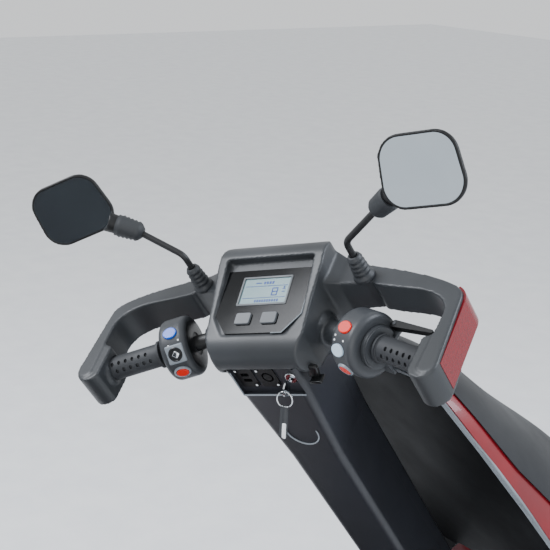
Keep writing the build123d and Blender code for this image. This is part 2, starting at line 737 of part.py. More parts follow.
for side, sign in (("left", -1), ("right", 1)):
    REAR_WHEEL = Plane(
        origin=(sign * rear_track / 2, rear_axle_y, rear_wheel_radius), x_dir=(0, 1, 0), z_dir=(1, 0, 0))
    rear_tyre, rear_rim = wheel_pieces(rear_wheel_radius, rear_tyre_width, axle_radius + shaft_gap, REAR_WHEEL)
    finish(rear_tyre, f"rear_tyre_{side}")
    finish(rear_rim, f"rear_rim_{side}")

# ---- chassis, in the scooter's own frame --------------------------------------------------
rear_end, front_end = -560.0, 300.0
neck_y, neck_size = 394.0, 28.0
well_y = 362.0                # front wall of the footwell
well_top = 300.0
shield_gap = 105.0            # cowl's rear edge, ahead of the column's middle
shield_inset = 12.0
head_tube_wall = 5.0
socket_top = 402.0
receiver_size, receiver_wall, receiver_hole = 25.6, 3.0, 4.1
receiver_length = 128.0


def column_y(z):
    """Y of the column's middle at a height, with the tiller straight ahead."""
    return head_reach + (head_height - z) * tan(lean)


rail_middle = rail_height + rail_size / 2
head_tube_foot = COLUMN.from_local_coords(Vector(0, 0, head_tube_low + 20))
with BuildPart() as main_frame:
    for sign in (-1, 1):
        with Locations((sign * rail_spacing / 2, (rear_end + front_end) / 2, rail_middle)):
            Box(rail_size, front_end - rear_end, rail_size)
    for y in (rear_end + 15, -330, 0, front_end - 15):
        with Locations((0, y, rail_middle)):
            Box(rail_spacing, rail_size, rail_size - 6)
    with BuildLine() as neck_route:
        FilletPolyline(
            (0, front_end - 10, rail_middle), (0, neck_y, rail_middle), (0, neck_y + 20, 205),
            (0, head_tube_foot.Y - 4, head_tube_foot.Z), radius=24)
    with BuildSketch(Plane(origin=neck_route.line @ 0, x_dir=(1, 0, 0), z_dir=(0, 1, 0))):
        Rectangle(neck_size, neck_size)
    sweep()
    with BuildSketch(COLUMN.offset(head_tube_low)):
        Circle(stem_radius + head_tube_wall)
    extrude(amount=head_tube_top - head_tube_low)
    with BuildSketch(COLUMN.offset(head_tube_low - 50)):
        Circle(stem_radius + shaft_gap)
    extrude(amount=head_tube_top - head_tube_low + 100, mode=Mode.SUBTRACT)
    with BuildSketch(Plane.XY.offset(rail_height + 3)):
        with Locations((0, post_y)):
            Circle(post_radius + 4)
    extrude(amount=socket_top - rail_height - 3)
    with Locations((0, post_y, rail_middle)):
        Box(rail_spacing, 50, rail_size - 6)
    with BuildSketch(Plane.XY.offset(socket_top)):
        with Locations((0, post_y)):
            Circle(post_radius + shaft_gap)
    extrude(amount=-190, mode=Mode.SUBTRACT)
    with Locations((0, rear_end - receiver_length / 2, rail_middle)):
        Box(receiver_size + 2 * receiver_wall, receiver_length, receiver_size + 2 * receiver_wall)
        Box(receiver_size, receiver_length, receiver_size, mode=Mode.SUBTRACT)
    with BuildSketch(Plane.YZ):
        with Locations((rear_end - receiver_length + 30, rail_middle)):
            Circle(receiver_hole)
    extrude(amount=40, both=True, mode=Mode.SUBTRACT)
finish(main_frame, "main_frame")

deck_thick, mat_thick = 10.0, 5.0
deck_back = -183.0
with BuildPart() as floor_pan:
    with BuildSketch(Plane.XY.offset(deck_height)):
        with Locations((0, (deck_back + well_y) / 2)):
            RectangleRounded(2 * deck_half_width, well_y - deck_back, 30)
    extrude(amount=deck_thick)
    with BuildSketch(Plane.XY.offset(deck_height)):
        with Locations((0, well_y)):
            Rectangle(2 * neck_size, 60)
    extrude(amount=deck_thick, mode=Mode.SUBTRACT)
finish(floor_pan, "floor_pan")

with BuildPart() as floor_mat:
    with BuildSketch(Plane.XY.offset(deck_height + deck_thick)):
        with Locations((0, (deck_back + well_y) / 2 - 2)):
            RectangleRounded(2 * deck_half_width - 40, well_y - deck_back - 56, 20)
    extrude(amount=mat_thick)
    with BuildSketch(Plane.XY.offset(deck_height + deck_thick + mat_thick)):
        with GridLocations(30, 0, 14, 1):
            with Locations((0, (deck_back + well_y) / 2 - 2)):
                Rectangle(12, well_y - deck_back - 90)
    extrude(amount=1.5)
finish(floor_mat, "floor_mat")

# Front cowl: each level is a share of its height, with the nose's length ahead of the rear edge and
# the half width. The levels are lofted, and the block is hollowed from behind.
cowl_wall = 4.0
cowl_low, cowl_top_drop = 268.0, 54.0
cowl_levels = (
    (1.0, 70, 118), (0.963, 111, 163), (0.822, 166, 200), (0.656, 239, 236),
    (0.506, 256, 262), (0.295, 225, 264), (0.133, 265, 250), (0.0, 295, 230),
)
knee_z = 430.0                # where the leg shield stops following the column


def cowl_z(share):
    """Height of a level of the cowl."""
    return cowl_low + share * (head_height - cowl_top_drop - cowl_low)


def cowl_rear(z):
    """Y of the cowl's rear edge at a height."""
    return column_y(max(z, knee_z)) + shield_gap - max(0, knee_z - z) * 0.3


def cowl_block(grow, back):
    """The cowl's outside grown by an amount, with straight sides carried back past the rear edge."""
    lifts = {1.0: grow, 0.0: -grow}
    with BuildPart() as block:
        for share, length, half in cowl_levels:
            z = cowl_z(share)
            rear, wide = cowl_rear(z), half + grow
            with BuildSketch(Plane.XY.offset(z + lifts.get(share, 0))):
                with BuildLine():
                    right = Line((wide, rear - back), (wide, rear))
                    EllipticalCenterArc((0, rear), wide, length + grow, start_angle=0, arc_size=180)
                    Polyline((-wide, rear), (-wide, rear - back), right @ 0)
                make_face()
        loft()
    return block


cowl_outside = cowl_block(0, 0.5)
with BuildPart() as front_cowl:
    add(cowl_outside.part)
    add(cowl_block(-cowl_wall, 60).part, mode=Mode.SUBTRACT)
    with BuildSketch(Plane.XY.offset(cowl_low - 5)):
        with Locations((0, cowl_rear(cowl_low) + 95)):
            Rectangle(420, 380)
    extrude(amount=30, mode=Mode.SUBTRACT)
finish(front_cowl, "front_cowl")

hood_edge = (                 # share of the cowl's height, and distance ahead of its rear edge
    (1.2, 23), (0.935, 23), (0.765, 32), (0.622, 54), (0.532, 93), (0.454, 169), (0.408, 250), (0.376, 400),
)
with BuildPart() as hood_panel:
    add(cowl_block(4, 0.5).part)
    add(cowl_block(seam_gap, 60).part, mode=Mode.SUBTRACT)
    with BuildSketch(Plane.YZ):
        with BuildLine():
            lower = Polyline(*[(cowl_rear(cowl_z(share)) + ahead, cowl_z(share)) for share, ahead in hood_edge])
            Polyline(lower @ 1, ((lower @ 1).X, (lower @ 0).Y), lower @ 0)
        make_face()
    extrude(amount=400, both=True, mode=Mode.INTERSECT)
finish(hood_panel, "hood_panel")

lamp_z, lamp_half_width, lamp_half_height = cowl_low + 172, 78.0, 30.0
with BuildPart() as headlamp_lens:
    add(cowl_block(3, 0.5).part)
    add(cowl_block(seam_gap, 60).part, mode=Mode.SUBTRACT)
    with BuildSketch(Plane.XZ.offset(-cowl_rear(lamp_z) - 120)):
        with Locations((0, lamp_z)):
            SlotOverall(2 * lamp_half_width, 2 * lamp_half_height)
    extrude(amount=-400, mode=Mode.INTERSECT)
finish(headlamp_lens, "headlamp_lens")

# Leg shield: footwell wall, slanted knee panel and upper shield, open round the steering head
shield_thick = 4.0
shield_top = head_height - cowl_top_drop - 19
shield_side = 12.0            # narrower than the cowl on each side
steering_room = 78.0
with BuildPart() as leg_shield:
    with BuildSketch(Plane.YZ):
        with BuildLine():
            Polyline(
                (well_y, deck_height + deck_thick), (well_y, well_top),
                (column_y(knee_z) + shield_gap + shield_inset, knee_z),
                (column_y(shield_top) + shield_gap + shield_inset, shield_top),
            )
        trace(line_width=shield_thick)
    extrude(amount=300, both=True)
    with BuildSketch(Plane.XZ.offset(-1000)):
        with BuildLine():
            Polyline(
                (0, deck_height + deck_thick), (deck_half_width - 6, deck_height + deck_thick), (232, cowl_low),
                *[(half - shield_side, cowl_z(share)) for share, length, half in cowl_levels[-2:0:-1]],
                (0, cowl_z(cowl_levels[1][0])))
            mirror(about=Plane.YZ)
        make_face()
    extrude(amount=2000, mode=Mode.INTERSECT)
    with BuildSketch(Plane.XZ):
        with Locations((0, 335)):
            RectangleRounded(2 * steering_room, 210, 30)
    extrude(amount=-1000, mode=Mode.SUBTRACT)
finish(leg_shield, "leg_shield")

# Rear body over the drive and batteries, with a fender over each wheel
body_side_gap = 14.0          # between the body's side and the tyre
fender_outer = (rear_track + rear_tyre_width) / 2
body_half_width = (rear_track - rear_tyre_width) / 2 - body_side_gap
body_front, body_back, body_top = -186.0, -646.0, 388.0
body_corner, body_lip = 60.0, 34.0
fender_gap, fender_thick = 16.0, 3.0
fender_low = deck_height + 50
fender_root = 30.0            # how far the fender starts inside the body
with BuildPart() as rear_cover:
    with BuildSketch(Plane.XY.offset(deck_height + 4)):
        with Locations((0, (body_front + body_back) / 2)):
            RectangleRounded(2 * body_half_width, body_front - body_back, body_corner)
    extrude(amount=body_top - deck_height - 4)
    fillet(rear_cover.edges().group_by(Axis.Z)[-1], 36)
    for sign in (-1, 1):
        with BuildSketch(Plane.YZ.offset(sign * (body_half_width - fender_root))):
            with Locations((rear_axle_y, rear_wheel_radius)):
                Circle(rear_wheel_radius + fender_gap + fender_thick)
        extrude(amount=sign * (fender_outer - body_half_width + fender_root))
    with BuildSketch(Plane.XY.offset(body_top - body_lip)):
        with Locations((0, (body_front + body_back) / 2)):
            RectangleRounded(2 * (body_half_width - wall), body_front - body_back - 2 * wall, body_corner - wall)
    extrude(amount=deck_height - body_top, mode=Mode.SUBTRACT)
    with BuildSketch(Plane.XY.offset(body_top - body_lip - 6)):
        with Locations((0, (body_front + body_back) / 2)):
            RectangleRounded(2 * (body_half_width - body_lip), body_front - body_back - 2 * body_lip, 30)
    extrude(amount=body_lip + 2, mode=Mode.SUBTRACT)
    for sign in (-1, 1):
        with BuildSketch(Plane.YZ.offset(sign * body_half_width)):
            with Locations((rear_axle_y, rear_wheel_radius)):
                Circle(rear_wheel_radius + fender_gap)
        extrude(amount=sign * 2 * rear_tyre_width, mode=Mode.SUBTRACT)
    with Locations((0, rear_axle_y, 0)):
        Box(2 * rear_track, body_front - body_back + 40, 2 * fender_low, mode=Mode.SUBTRACT)
    with BuildSketch(Plane.XY.offset(body_top + 1)):
        with Locations((0, post_y)):
            Circle(post_radius + 4 + seam_gap)
    extrude(amount=-60, mode=Mode.SUBTRACT)
finish(rear_cover, "rear_cover")

with BuildPart() as tail_lamps:
    for sign in (-1, 1):
        with BuildSketch(Plane.XZ.offset(-body_back)):
            with Locations((sign * 112, 318)):
                RectangleRounded(64, 26, 6)
        extrude(amount=5)
finish(tail_lamps, "tail_lamps")

battery_width, battery_length, battery_height = 142.0, 176.0, 168.0
with BuildPart() as battery_pack:
    with Locations(
        (-battery_width / 2 - 3, -294, rail_height + rail_size + 1),
        (battery_width / 2 + 3, -294, rail_height + rail_size + 1),
    ):
        Box(battery_width, battery_length, battery_height, align=(Align.CENTER, Align.CENTER, Align.MIN))
        with Locations((0, 0, battery_height - 1)):
            Box(90, 12, 14, align=(Align.CENTER, Align.CENTER, Align.MIN))
finish(battery_pack, "battery_pack")

axle_tube_radius, axle_tube_gap = 19.0, 26.0
with BuildPart() as transaxle:
    with Locations((0, rear_axle_y, rear_wheel_radius)):
        Box(80, 58, 104)
    with BuildSketch(Plane.YZ.offset(-120)):
        with Locations((rear_axle_y + 6, rear_wheel_radius + 66)):
            Circle(42)
    extrude(amount=200)
    with BuildSketch(Plane.YZ):
        with Locations((rear_axle_y, rear_wheel_radius)):
            Circle(axle_tube_radius)
    extrude(amount=(rear_track - rear_tyre_width) / 2 - axle_tube_gap, both=True)
    with BuildSketch(Plane.YZ):
        with Locations((rear_axle_y, rear_wheel_radius)):
            Circle(axle_radius)
    extrude(amount=rear_track / 2 + rear_tyre_width / 2 - 2, both=True)
finish(transaxle, "transaxle")

# ---- seat ----------------------------------------------------------------------------------
hinge_y, hinge_z = -656.0, seat_height + seat_thick + 18
ear_x, ear_thick, hinge_pin = 150.0, 8.0, 6.0
arm_pivot_y, arm_pivot_z, arm_pin = -690.0, 733.0, 8.0
arm_x = 247.0
with BuildPart() as seat_base:
    with BuildSketch(Plane.XY.offset(socket_top - 150)):
        with Locations((0, post_y)):
            Circle(post_radius)
    extrude(amount=seat_height - 4 - socket_top + 150)
    with BuildSketch(Plane.XY.offset(socket_top + fit_gap)):
        with Locations((0, post_y)):
            Circle(post_radius + 10)
    extrude(amount=10)
    with Locations((0, (post_y + 90 + hinge_y) / 2, seat_height - 8)):
        Box(2 * ear_x + 2 * ear_thick, post_y + 90 - hinge_y + 28, 8, align=(Align.CENTER, Align.CENTER, Align.MIN))
    for start in (-ear_x - ear_thick, ear_x):
        with BuildSketch(Plane.YZ.offset(start)):
            with BuildLine():
                top = ThreePointArc((hinge_y + 14, hinge_z), (hinge_y, hinge_z + 14), (hinge_y - 14, hinge_z))
                Polyline(top @ 1, (hinge_y - 14, seat_height - 8), (hinge_y + 14, seat_height - 8), top @ 0)
            make_face()
        extrude(amount=ear_thick)
    with BuildSketch(Plane.YZ):
        with Locations((hinge_y, hinge_z)):
            Circle(hinge_pin + shaft_gap)
    extrude(amount=ear_x + 20, both=True, mode=Mode.SUBTRACT)
finish(seat_base, "seat_base")

cushion_back = hinge_y + 26
with BuildPart() as seat_cushion:
    with BuildSketch(Plane.XY.offset(seat_height)):
        with Locations((0, cushion_back + seat_depth / 2)):
            RectangleRounded(seat_width, seat_depth, 60)
    extrude(amount=seat_thick)
    fillet(seat_cushion.edges().group_by(Axis.Z)[-1], 24)
    fillet(seat_cushion.edges().group_by(Axis.Z)[0], 14)
finish(seat_cushion, "seat_cushion")

back_tilt = 6.0
BACK = Plane(
    origin=(0, hinge_y + 12, hinge_z - 20), x_dir=(1, 0, 0),
    z_dir=(0, -cos(radians(back_tilt)), -sin(radians(back_tilt))),
)
with BuildPart() as seat_backrest:
    with BuildSketch(BACK):
        with Locations((0, back_height / 2)):
            RectangleRounded(seat_width - 10, back_height, 70)
    extrude(amount=back_thick)
    with BuildSketch(Plane.YZ):
        with Locations((hinge_y, hinge_z)):
            Circle(hinge_pin)
    extrude(amount=ear_x + ear_thick + 3, both=True)
    with BuildSketch(Plane.YZ):
        with Locations((arm_pivot_y, arm_pivot_z)):
            Circle(arm_pin)
    extrude(amount=arm_x + 16, both=True)
    for start in (-ear_x - ear_thick - fit_gap, ear_x - fit_gap):
        with BuildSketch(Plane.YZ.offset(start)):
            with Locations((hinge_y, hinge_z - 30)):
                Rectangle(120, 150)
        extrude(amount=ear_thick + 2 * fit_gap, mode=Mode.SUBTRACT)
    with BuildSketch(Plane.YZ):
        with Locations((hinge_y, hinge_z)):
            Circle(hinge_pin)
    extrude(amount=ear_x + ear_thick + 3, both=True)
finish(seat_backrest, "seat_backrest")

arm_length, arm_high, pad_length = 300.0, 24.0, 250.0
for side, sign in (("left", -1), ("right", 1)):
    with BuildPart() as armrest:
        with BuildSketch(Plane.YZ.offset(sign * arm_x - 13)):
            with Locations((arm_pivot_y, arm_pivot_z)):
                Circle(17)
            with Locations((arm_pivot_y + arm_length / 2, arm_pivot_z)):
                Rectangle(arm_length, arm_high)
            with Locations((arm_pivot_y, arm_pivot_z)):
                Circle(arm_pin + shaft_gap, mode=Mode.SUBTRACT)
        extrude(amount=26)
        with BuildSketch(Plane.XY.offset(arm_pivot_z + arm_high / 2)):
            with Locations((sign * (arm_x + 6), arm_pivot_y + arm_length + 12 - pad_length / 2)):
                RectangleRounded(54, pad_length, 20)
        extrude(amount=28)
        fillet(armrest.edges().group_by(Axis.Z)[-1], 8)
    finish(armrest, f"armrest_{side}")

# ---- put the whole scooter on its own origin: middle of the footprint, on the ground ---------
boxes = [piece.part.bounding_box() for piece in pieces.values()]
middle_x = (min(box.min.X for box in boxes) + max(box.max.X for box in boxes)) / 2
middle_y = (min(box.min.Y for box in boxes) + max(box.max.Y for box in boxes)) / 2
ground = min(box.min.Z for box in boxes)
origin_shift = Vector(-middle_x, -middle_y, -ground)

os.makedirs("parts", exist_ok=True)
for label, piece in pieces.items():
    piece.part = Location(origin_shift) * piece.part
    piece.part.label = label
    export_step(piece.part, f"parts/{label}.step")
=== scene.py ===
import bpy, bmesh, json, math
from mathutils import Matrix, Vector


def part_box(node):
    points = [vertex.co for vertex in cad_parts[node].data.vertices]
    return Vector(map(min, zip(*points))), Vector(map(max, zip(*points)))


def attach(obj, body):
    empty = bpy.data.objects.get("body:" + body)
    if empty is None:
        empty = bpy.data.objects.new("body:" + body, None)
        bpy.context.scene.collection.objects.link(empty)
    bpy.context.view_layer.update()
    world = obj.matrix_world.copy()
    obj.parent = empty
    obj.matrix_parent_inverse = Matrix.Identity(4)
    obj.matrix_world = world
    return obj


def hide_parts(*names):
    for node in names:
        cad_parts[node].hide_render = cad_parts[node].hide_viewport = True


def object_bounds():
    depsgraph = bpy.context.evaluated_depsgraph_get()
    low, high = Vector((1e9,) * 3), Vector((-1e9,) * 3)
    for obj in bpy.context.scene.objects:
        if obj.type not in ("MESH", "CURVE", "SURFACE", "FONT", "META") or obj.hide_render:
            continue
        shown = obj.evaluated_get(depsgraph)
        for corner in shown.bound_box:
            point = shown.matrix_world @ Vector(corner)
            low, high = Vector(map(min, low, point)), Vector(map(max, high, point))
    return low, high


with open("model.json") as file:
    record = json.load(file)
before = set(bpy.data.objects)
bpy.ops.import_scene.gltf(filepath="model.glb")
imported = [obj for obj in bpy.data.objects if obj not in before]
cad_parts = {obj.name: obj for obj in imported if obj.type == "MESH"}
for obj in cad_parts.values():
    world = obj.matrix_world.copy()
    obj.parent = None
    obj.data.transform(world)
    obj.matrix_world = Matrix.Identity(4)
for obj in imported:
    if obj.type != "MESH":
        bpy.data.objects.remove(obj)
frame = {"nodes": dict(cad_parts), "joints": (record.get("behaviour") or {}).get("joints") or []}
cad_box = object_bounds()
nodes = frame["nodes"]
joints = {joint["name"]: joint for joint in frame["joints"]}
mm = 0.001



def axes_at(place, x_axis, y_axis, z_axis):
    """The frame at a place with these three axes."""
    return Matrix.Translation(Vector(place)) @ Matrix((x_axis, y_axis, z_axis)).transposed().to_4x4()


# ---- frames -------------------------------------------------------------------------------
# The tiller head: X along the handlebar to the rider's right, Z up the column.
head_centre = Vector(joints["steer"]["pos_m"])
head_up = Vector(joints["steer"]["axis"]).normalized()
head_right = Vector(joints["tiller_tilt"]["axis"]).normalized()
head_ahead = head_up.cross(head_right)
HEAD = axes_at(head_centre, head_right, head_ahead, head_up)

# ---- camera and studio ----------------------------------------------------------------------
camera_right = Vector((0.6004, 0.7989, 0.0360))
camera_up = Vector((-0.2502, 0.1450, 0.9573))
camera_offset = Vector((1.2312, -0.9576, 0.5447))
camera = bpy.data.objects.new("camera", bpy.data.cameras.new("camera"))
camera.data.sensor_width, camera.data.lens = 36, 78.58
camera.data.clip_start, camera.data.clip_end = 0.05, 50
camera.matrix_world = axes_at(head_centre + camera_offset, camera_right, camera_up, camera_right.cross(camera_up))
bpy.context.scene.collection.objects.link(camera)
bpy.context.scene.camera = camera


def linear(colour):
    """An sRGB hex colour as the linear one a shader takes."""
    parts = [int(colour[i:i + 2], 16) / 255 for i in (1, 3, 5)]
    return [p / 12.92 if p <= 0.04045 else ((p + 0.055) / 1.055) ** 2.4 for p in parts] + [1]


def add_node(tree, kind, links=None, **settings):
    """Add a node. Settings name its properties or inputs, and links name inputs and what feeds them."""
    node = tree.nodes.new(kind)
    for name, value in settings.items():
        if hasattr(node, name):
            setattr(node, name, value)
        else:
            node.inputs[name.replace("_", " ")].default_value = value
    for name, source in (links or {}).items():
        tree.links.new(source, node.inputs[name])
    return node


world = bpy.data.worlds.new("studio")
bpy.context.scene.world = world
world.use_nodes = True
world.node_tree.nodes["Background"].inputs["Color"].default_value = linear("#f4f6f8")
world.node_tree.nodes["Background"].inputs["Strength"].default_value = 1.05


def softbox(name, place, aim, width, height, power, colour):
    """A rectangular studio light."""
    lamp = bpy.data.objects.new(name, bpy.data.lights.new(name, "AREA"))
    lamp.data.shape, lamp.data.size, lamp.data.size_y = "RECTANGLE", width, height
    lamp.data.energy, lamp.data.color = power, linear(colour)[:3]
    lamp.location = place
    lamp.rotation_mode = "QUATERNION"
    lamp.rotation_quaternion = (Vector(aim) - Vector(place)).to_track_quat("-Z", "Y")
    bpy.context.scene.collection.objects.link(lamp)


low, high = cad_box
middle = (low + high) / 2
softbox("key_light", (-1.2, -1.8, 2.9), head_centre, 1.6, 1.0, 95, "#f6f9ff")
softbox("rim_light", (1.6, 1.8, 2.4), head_centre, 1.2, 1.8, 70, "#eaf2ff")
softbox("fill_light", (2.6, -2.2, 1.2), middle, 2.0, 2.0, 30, "#ffffff")


# ---- materials ----------------------------------------------------------------------------
def start_material(name):
    """An empty material with its shader and its Object coordinates."""
    material = bpy.data.materials.new(name)
    material.use_nodes = True
    tree = material.node_tree
    shader = tree.nodes["Principled BSDF"]
    place = add_node(tree, "ShaderNodeTexCoord").outputs["Object"]
    return material, tree, shader, place


def mix_colours(tree, factor, first, second):
    """A colour between two hex colours, by a factor's socket."""
    node = tree.nodes.new("ShaderNodeMix")
    node.data_type = "RGBA"
    tree.links.new(factor, node.inputs[0])
    node.inputs[6].default_value = linear(first)
    node.inputs[7].default_value = linear(second)
    return node.outputs[2]


def moulded(name, colour, shade, grain, depth, roughness, spread=0.08, coat=0.0, metal=0.0, ior=1.5):
    """A moulded or coated surface: cloudy colour, fine grain in the mould, roughness that drifts.

    Grain is the pitch of the texture in millimetres, and depth its height."""
    material, tree, shader, place = start_material(name)
    cloud = add_node(tree, "ShaderNodeTexNoise", {"Vector": place}, Scale=9.0, Detail=4.0, Roughness=0.55)
    ramp = add_node(tree, "ShaderNodeMapRange", {"Value": cloud.outputs["Fac"]}, From_Min=0.35, From_Max=0.65)
    tree.links.new(mix_colours(tree, ramp.outputs["Result"], colour, shade), shader.inputs["Base Color"])
    rough = add_node(tree, "ShaderNodeMapRange", {"Value": cloud.outputs["Fac"]}, From_Min=0.3, From_Max=0.7,
                     To_Min=roughness - spread, To_Max=roughness + spread)
    tree.links.new(rough.outputs["Result"], shader.inputs["Roughness"])
    fine = add_node(tree, "ShaderNodeTexNoise", {"Vector": place}, Scale=1000 / grain, Detail=2.0)
    bump = add_node(tree, "ShaderNodeBump", {"Height": fine.outputs["Fac"]}, Strength=0.6, Distance=depth * mm)
    tree.links.new(bump.outputs["Normal"], shader.inputs["Normal"])
    shader.inputs["Metallic"].default_value = metal
    if not metal:
        shader.inputs["IOR"].default_value = ior
    shader.inputs["Coat Weight"].default_value = coat
    shader.inputs["Coat Roughness"].default_value = 0.08
    return material


finishes = {
    # textured ABS of the tiller head, spark-eroded mould: a soft blue-grey sheen broken by fine grain
    "charcoal_abs": moulded("charcoal_abs", "#36393d", "#2c2f32", 1.6, 0.25, 0.42, 0.06),
    # the same ABS, satin, on the column
    "column_abs": moulded("column_abs", "#2a2c32", "#222429", 1.8, 0.2, 0.40, 0.06),
    # black ABS: shell backs and small fittings
    "black_abs": moulded("black_abs", "#121315", "#0d0e0f", 1.5, 0.15, 0.45, 0.06, ior=1.4),
    # low-gloss ABS of the leg shield, seen at a slant
    "shield_abs": moulded("shield_abs", "#101114", "#0b0c0e", 1.8, 0.2, 0.62, 0.06, ior=1.22),
    "pod_abs": moulded("pod_abs", "#3a3d41", "#303337", 1.5, 0.2, 0.45, 0.06),
    # nylon levers and hooks, harder and shinier
    "black_nylon": moulded("black_nylon", "#16181a", "#0f1012", 1.2, 0.1, 0.3, 0.05),
    # thermoplastic rubber grips: matt, dark
    "grip_rubber": moulded("grip_rubber", "#33363a", "#292b2f", 1.1, 0.3, 0.6, 0.08),
    # EPDM boots
    "boot_rubber": moulded("boot_rubber", "#2f3236", "#24272a", 1.2, 0.25, 0.55, 0.08),
    # acrylic bezel, near-black and glossy
    "bezel_acrylic": moulded("bezel_acrylic", "#07090b", "#050608", 4.0, 0.01, 0.12, 0.03, ior=1.25),
    "button_rubber": moulded("button_rubber", "#6a6e72", "#5a5e62", 1.2, 0.15, 0.45, 0.06),
    "red_button": moulded("red_button", "#ee2509", "#dc1c06", 1.4, 0.05, 0.35, 0.05, coat=0.15),
    "blue_button": moulded("blue_button", "#0560e0", "#0452c4", 1.4, 0.05, 0.35, 0.05, coat=0.15),
    "pale_button": moulded("pale_button", "#c3d8e8", "#b4cbdd", 1.4, 0.05, 0.35, 0.05, coat=0.2),
    "switch_grey": moulded("switch_grey", "#8d959d", "#7a828a", 1.4, 0.08, 0.36, 0.05),
    "label_white": moulded("label_white", "#e8ecef", "#dde2e6", 1.4, 0.03, 0.5, 0.05),
    # painted panels: base coat under clear lacquer
    "red_lacquer": moulded("red_lacquer", "#860014", "#700010", 3.0, 0.02, 0.38, 0.05, coat=0.35),
    "hood_abs": moulded("hood_abs", "#26282b", "#1e2023", 1.8, 0.2, 0.5, 0.06, ior=1.35),
    # light grey: real trim on the fairing, and painted highlights on the bezel, pocket and oval edges
    "trim_grey": moulded("trim_grey", "#8f979e", "#7d858c", 1.6, 0.1, 0.4, 0.05),
    "powder_coat": moulded("powder_coat", "#17181a", "#101113", 1.4, 0.3, 0.42, 0.06),
    "mat_rubber": moulded("mat_rubber", "#232527", "#1a1b1d", 1.3, 0.4, 0.75, 0.08),
    "tyre_rubber": moulded("tyre_rubber", "#1f2021", "#171818", 1.5, 0.4, 0.72, 0.1),
    "battery_abs": moulded("battery_abs", "#26282b", "#1f2124", 1.8, 0.2, 0.5, 0.06),
    "segment_blue": moulded("segment_blue", "#0f3f96", "#0c3784", 2.0, 0.01, 0.5, 0.04),
    # metals
    "rim_paint": moulded("rim_paint", "#b9bdc2", "#a9adb2", 1.8, 0.05, 0.32, 0.05, metal=0.85),
    "cast_alloy": moulded("cast_alloy", "#9a9da1", "#85888c", 1.6, 0.4, 0.5, 0.08, metal=0.9),
    "chrome": moulded("chrome", "#e3e6e9", "#d5d9dd", 2.5, 0.01, 0.1, 0.04, metal=1.0),
    "lever_alloy": moulded("lever_alloy", "#aeb3b8", "#9fa4a9", 1.5, 0.05, 0.3, 0.05, metal=1.0),
    "steel_tube": moulded("steel_tube", "#8f959b", "#7f858b", 1.5, 0.03, 0.28, 0.05, metal=1.0),
    "strap_leather": moulded("strap_leather", "#33363a", "#26282b", 1.2, 0.3, 0.5, 0.08),
}


def lcd_glass():
    """Reflective liquid-crystal display: blue-green grey, with a faint dot grid under glass, and a faint painted
    glow.
    """
    material, tree, shader, place = start_material("lcd_glass")
    cloud = add_node(tree, "ShaderNodeTexNoise", {"Vector": place}, Scale=25.0, Detail=2.0)
    tree.links.new(mix_colours(tree, cloud.outputs["Fac"], "#5c7c83", "#6d8b90"), shader.inputs["Base Color"])
    dots = add_node(tree, "ShaderNodeTexVoronoi", {"Vector": place}, Scale=900.0)
    bump = add_node(tree, "ShaderNodeBump", {"Height": dots.outputs["Distance"]}, Strength=0.2, Distance=0.02 * mm)
    tree.links.new(bump.outputs["Normal"], shader.inputs["Normal"])
    shader.inputs["Roughness"].default_value = 0.25
    # a painted glow: the display is no lamp, so this faint emission stands in for light
    shader.inputs["Emission Color"].default_value = linear("#7f9fa5")
    shader.inputs["Emission Strength"].default_value = 0.05
    return material


def mirror_silver():
    """Back-silvered mirror glass: almost no roughness, faint blue."""
    material, tree, shader, place = start_material("mirror_silver")
    haze = add_node(tree, "ShaderNodeTexNoise", {"Vector": place}, Scale=14.0, Detail=3.0)
    tree.links.new(mix_colours(tree, haze.outputs["Fac"], "#dfe8ee", "#cfdae2"), shader.inputs["Base Color"])
    rough = add_node(tree, "ShaderNodeMapRange", {"Value": haze.outputs["Fac"]}, To_Min=0.02, To_Max=0.09)
    tree.links.new(rough.outputs["Result"], shader.inputs["Roughness"])
    shader.inputs["Metallic"].default_value = 1
    return material


def prismatic_red(name, deep, bright, pitch, glow):
    """Moulded lens plastic with small prisms behind a smooth face. Pitch is in millimetres. Glow is emission: lamp
    light on the lamp lenses, a painted glow on the reflectors.
    """
    material, tree, shader, place = start_material(name)
    cells = add_node(tree, "ShaderNodeTexVoronoi", {"Vector": place}, Scale=1000 / pitch)
    tree.links.new(mix_colours(tree, cells.outputs["Distance"], bright, deep), shader.inputs["Base Color"])
    bump = add_node(tree, "ShaderNodeBump", {"Height": cells.outputs["Distance"]}, Strength=0.5, Distance=0.3 * mm)
    tree.links.new(bump.outputs["Normal"], shader.inputs["Normal"])
    shader.inputs["Roughness"].default_value = 0.18
    shader.inputs["Coat Weight"].default_value = 0.15
    shader.inputs["Coat Roughness"].default_value = 0.06
    # emission: lamp light on the lamp lenses, a painted glow on the reflectors, which are no lamps
    shader.inputs["Emission Color"].default_value = linear(bright)
    shader.inputs["Emission Strength"].default_value = glow
    return material


def seat_vinyl():
    """PVC leathercloth: pebbled grain about 2 mm across, soft sheen, slightly lighter on the raised grain, with
    painted shade in the hollows between the pebbles.
    """
    material, tree, shader, place = start_material("seat_vinyl")
    pebbles = add_node(tree, "ShaderNodeTexVoronoi", {"Vector": place}, feature="SMOOTH_F1", Scale=420.0)
    patches = add_node(tree, "ShaderNodeTexNoise", {"Vector": place}, Scale=7.0, Detail=4.0)
    # painted shade: the hollows between the pebbles are darker and the raised grain lighter, following the bump
    tree.links.new(mix_colours(tree, pebbles.outputs["Distance"], "#232528", "#121315"), shader.inputs["Base Color"])
    rough = add_node(tree, "ShaderNodeMapRange", {"Value": patches.outputs["Fac"]}, To_Min=0.38, To_Max=0.58)
    tree.links.new(rough.outputs["Result"], shader.inputs["Roughness"])
    bump = add_node(tree, "ShaderNodeBump", {"Height": pebbles.outputs["Distance"]}, Strength=0.7, Distance=0.35 * mm,
                    invert=True)
    tree.links.new(bump.outputs["Normal"], shader.inputs["Normal"])
    shader.inputs["Sheen Weight"].default_value = 0.05
    return material


